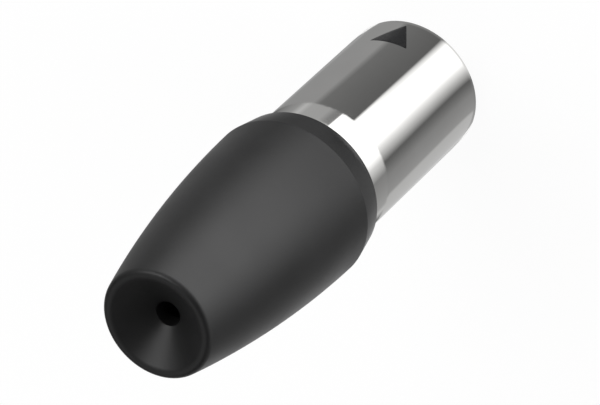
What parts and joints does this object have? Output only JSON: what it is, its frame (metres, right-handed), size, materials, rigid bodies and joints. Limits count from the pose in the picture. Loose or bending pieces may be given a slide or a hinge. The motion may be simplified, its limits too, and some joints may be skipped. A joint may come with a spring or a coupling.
{
  "type": "xlr plug",
  "caption": "Straight male audio cable plug: bright metal shell over gold contact pins, with a tapered soft black screw-on boot that clamps and seals the cable.",
  "frame": {"origin": "centre of the shell's front rim, which the plug stands on", "axes": "+Z along the plug's axis from the front rim to the cable end; +Y to the guide key, latch recess and arrow side"},
  "size_m": [0.0226, 0.0226, 0.0658],
  "materials": {
    "nickel": "polished nickel plate on die-cast zinc",
    "insert_nylon": "moulded glass-filled nylon",
    "contact_gold": "polished gold plate on brass",
    "spring_bronze": "tinned spring bronze strip",
    "seal_rubber": "matte moulded rubber",
    "chuck_acetal": "moulded white acetal",
    "nut_plastic": "moulded glass-filled nylon",
    "soft_cover": "soft-touch moulded elastomer, fine matte grain"
  },
  "bodies": {
    "root": {"shell": "nickel", "insert": "insert_nylon", "pin_1": "contact_gold", "pin_2": "contact_gold", "pin_3": "contact_gold", "ground_contact": "spring_bronze", "face_gasket": "seal_rubber", "shell_o_ring": "seal_rubber"},
    "clamp": {"chuck": "chuck_acetal", "gland_seal": "seal_rubber"},
    "boot": {"boot_nut": "nut_plastic", "boot_cover": "soft_cover"}
  },
  "joints": [
    {"name": "clamp_slide", "type": "slide", "parent": "root", "child": "clamp", "axis": [0, 0, 1], "range_m": [0, 0.00525]},
    {"name": "boot_turn", "type": "hinge", "parent": "clamp", "child": "boot", "pos_m": [0, 0, 0.036], "axis": [0, 0, 1], "range_deg": [0, 1260]}
  ],
  "couplings": [
    {"joint": "clamp_slide", "follows": "boot_turn", "m_per_rad": 0.00023873}
  ]
}
